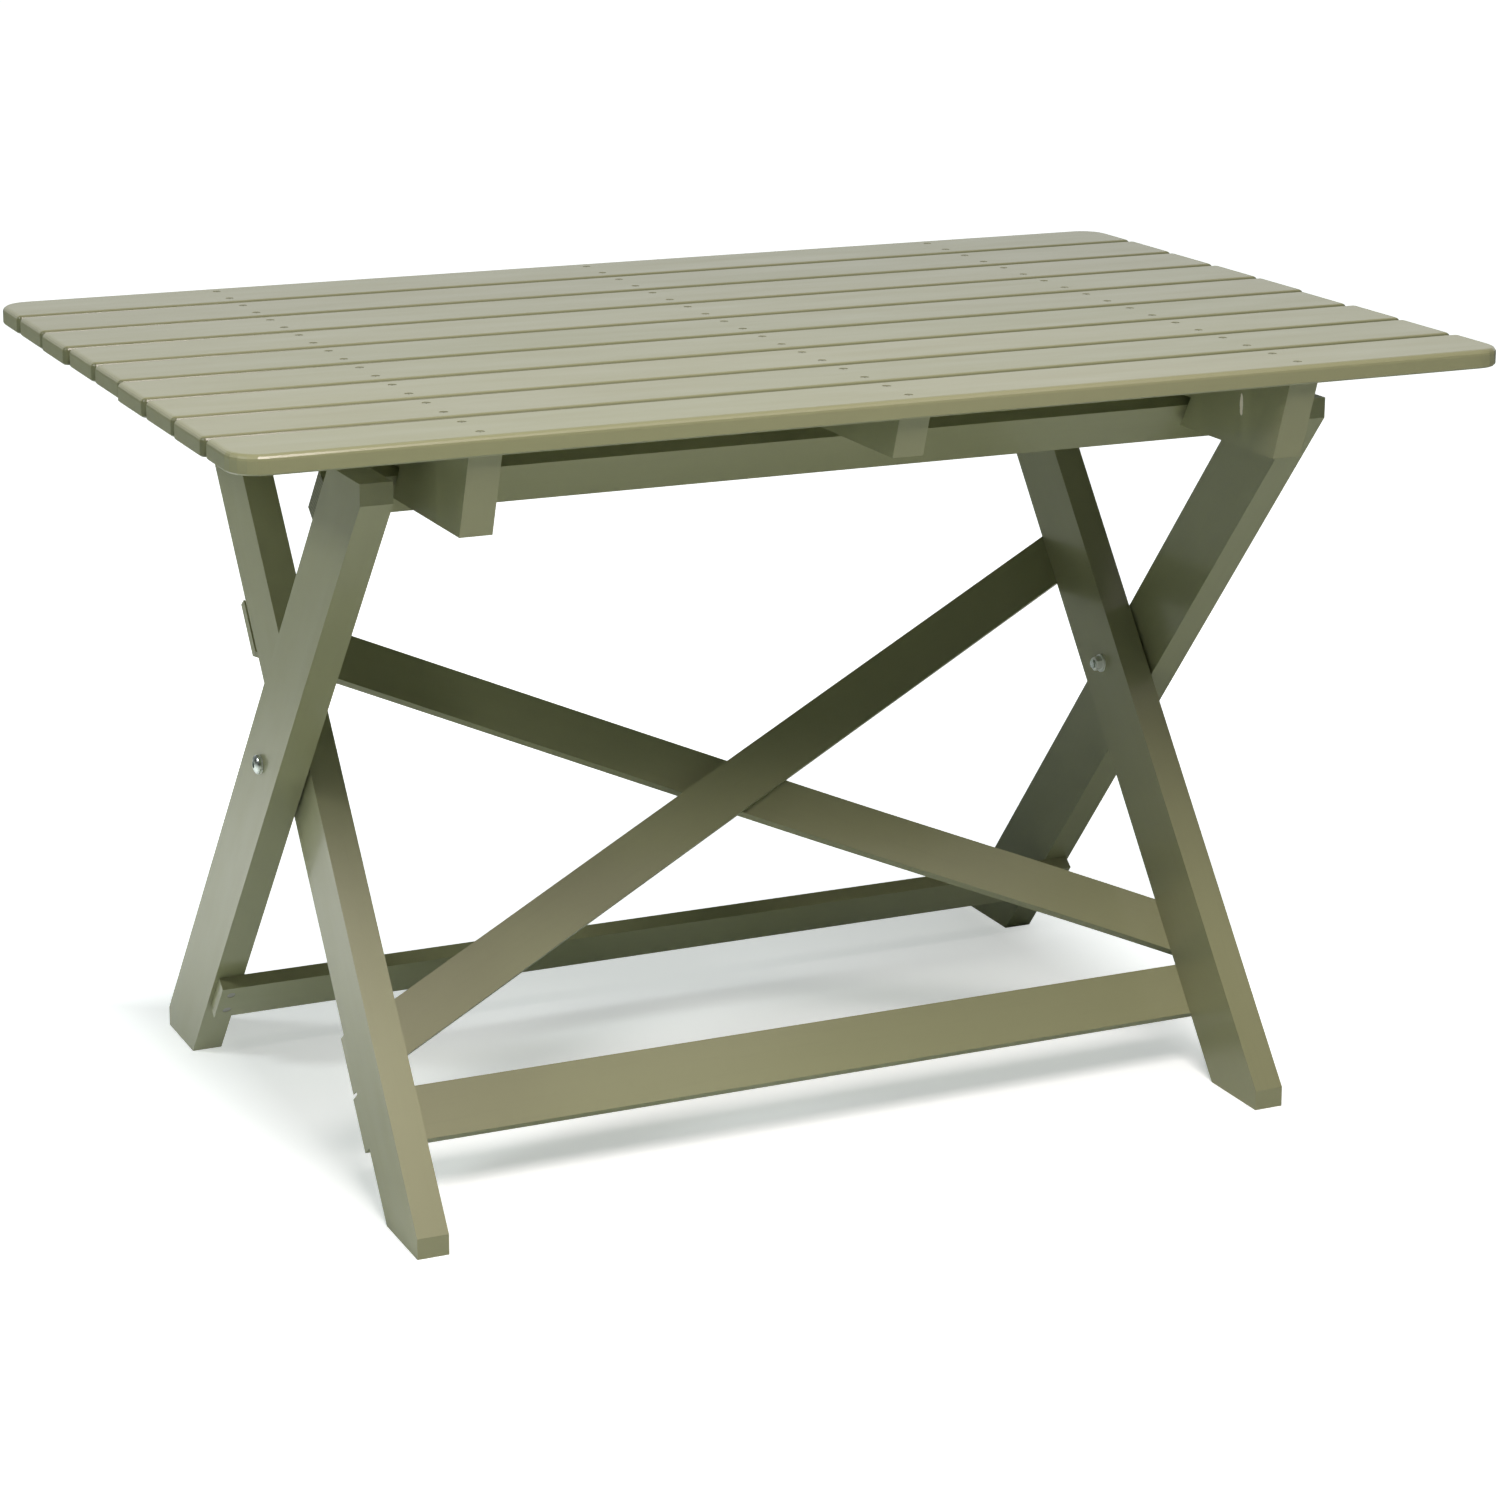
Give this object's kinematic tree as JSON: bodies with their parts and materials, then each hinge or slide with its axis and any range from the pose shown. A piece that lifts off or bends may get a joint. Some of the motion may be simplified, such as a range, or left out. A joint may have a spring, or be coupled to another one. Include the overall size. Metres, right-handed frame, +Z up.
{
  "type": "folding picnic table",
  "caption": "Folding table with a slatted top on two crossed wooden leg frames that pivot on bolts and lock into notches under the top.",
  "frame": {"origin": "centre of the table's footprint on the floor", "axes": "+X along the slats to the right, -Y towards the front edge, +Z up"},
  "size_m": [1.204, 0.761, 0.732],
  "materials": {
    "tabletop_paint": "sage grey paint, satin, faint grain",
    "frame_paint": "sage grey paint, satin, rounded edges",
    "screws": "zinc, dull",
    "zinc_hardware": "bright zinc"
  },
  "bodies": {
    "inner_frame": {"inner_leg_left": "frame_paint", "inner_leg_right": "frame_paint", "inner_stretcher": "frame_paint", "brace_front": "frame_paint", "brace_rear": "frame_paint", "inner_frame_screws": "screws", "top_hinge_bolts": "zinc_hardware", "top_hinge_washers": "zinc_hardware", "top_hinge_nuts": "zinc_hardware", "top_hinge_spacers": "zinc_hardware", "pivot_bolts": "zinc_hardware", "pivot_washers": "zinc_hardware", "pivot_nuts": "zinc_hardware", "pivot_spacers": "zinc_hardware"},
    "tabletop": {"slat_1": "tabletop_paint", "slat_2": "tabletop_paint", "slat_3": "tabletop_paint", "slat_4": "tabletop_paint", "slat_5": "tabletop_paint", "slat_6": "tabletop_paint", "slat_7": "tabletop_paint", "slat_8": "tabletop_paint", "slat_9": "tabletop_paint", "end_batten_left": "frame_paint", "end_batten_right": "frame_paint", "centre_batten": "frame_paint", "slat_screws": "screws"},
    "outer_frame": {"outer_leg_left": "frame_paint", "outer_leg_right": "frame_paint", "outer_stretcher": "frame_paint", "outer_top_rail": "frame_paint", "outer_frame_screws": "screws"}
  },
  "joints": [
    {"name": "top_hinge", "type": "hinge", "parent": "inner_frame", "child": "tabletop", "pos_m": [0, 0.248, 0.677], "axis": [-1, 0, 0], "range_deg": [0, 77]},
    {"name": "leg_fold", "type": "hinge", "parent": "inner_frame", "child": "outer_frame", "pos_m": [0, 0.002, 0.361], "axis": [-1, 0, 0], "range_deg": [0, 57]}
  ],
  "couplings": [
    {"joint": "leg_fold", "follows": "top_hinge", "ratio": 0.74}
  ]
}
